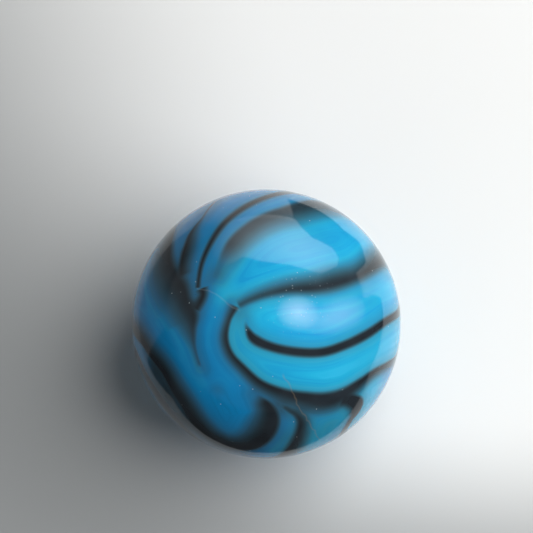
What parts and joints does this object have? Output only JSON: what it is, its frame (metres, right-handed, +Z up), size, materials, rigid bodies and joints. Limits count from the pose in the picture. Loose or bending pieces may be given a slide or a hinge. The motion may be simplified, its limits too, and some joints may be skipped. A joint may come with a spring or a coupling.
{
  "type": "glass marble",
  "caption": "Solid glass ball for playing and display: opaque bright blue with folded sheets of black glass that show as curling ribbons on a polished surface.",
  "frame": {"origin": "centre of the ball", "axes": "+Z up, with the patterned face turned up and a little towards -Y; -Z points at the spot that the ball rests on"},
  "size_m": [0.016, 0.016, 0.016],
  "materials": {
    "blue_glass": "polished opaque glass",
    "black_glass": "polished opaque glass"
  },
  "bodies": {
    "root": {"base_glass": "blue_glass", "crest_ribbon": "black_glass", "core_ribbon": "black_glass", "loop_ribbon": "black_glass", "hook_ribbon": "black_glass", "bowl_ribbon": "black_glass", "rim_ribbon": "black_glass", "fin_ribbon": "black_glass", "flank_ribbon": "black_glass", "knot_ribbon": "black_glass", "feather_ribbon": "black_glass", "arc_ribbon": "black_glass", "crown_ribbon": "black_glass"}
  },
  "joints": []
}
